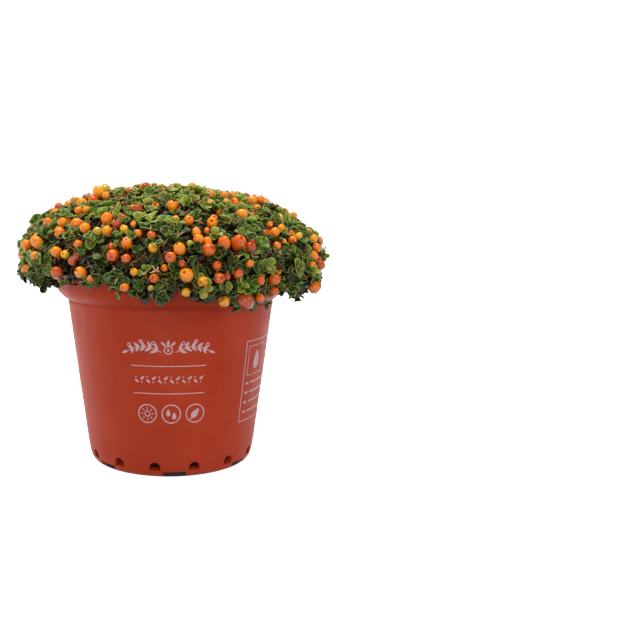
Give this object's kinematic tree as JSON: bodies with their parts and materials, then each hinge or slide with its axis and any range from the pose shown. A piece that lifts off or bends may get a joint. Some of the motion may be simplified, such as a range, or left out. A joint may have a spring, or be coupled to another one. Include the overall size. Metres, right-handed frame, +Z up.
{
  "type": "potted coral bead plant",
  "caption": "Pot plant: a low round cushion of tiny leaves set with bead-like berries, rooted in soil in a tapered plastic nursery pot that stands on its foot.",
  "frame": {"origin": "on the ground at the middle of the pot's foot", "axes": "+Z up along the pot's axis, -Y towards the printed front of the pot, +X to the right of someone who faces it"},
  "size_m": [0.1423, 0.1425, 0.1265],
  "materials": {
    "pot_plastic": "satin",
    "peat_soil": "matte",
    "leaves_and_berries": "satin"
  },
  "bodies": {
    "root": {"pot": "pot_plastic", "soil": "peat_soil", "leafy_tuft_middle": "leaves_and_berries", "leafy_tuft_inner_1": "leaves_and_berries", "leafy_tuft_inner_2": "leaves_and_berries", "leafy_tuft_inner_3": "leaves_and_berries", "leafy_tuft_inner_4": "leaves_and_berries", "leafy_tuft_inner_5": "leaves_and_berries", "leafy_tuft_inner_6": "leaves_and_berries", "leafy_tuft_rim_1": "leaves_and_berries", "leafy_tuft_rim_2": "leaves_and_berries", "leafy_tuft_rim_3": "leaves_and_berries", "leafy_tuft_rim_4": "leaves_and_berries", "leafy_tuft_rim_5": "leaves_and_berries", "leafy_tuft_rim_6": "leaves_and_berries", "leafy_tuft_rim_7": "leaves_and_berries", "leafy_tuft_rim_8": "leaves_and_berries", "leafy_tuft_rim_9": "leaves_and_berries", "leafy_tuft_rim_10": "leaves_and_berries", "leafy_tuft_rim_11": "leaves_and_berries", "leafy_tuft_rim_12": "leaves_and_berries"}
  },
  "joints": []
}
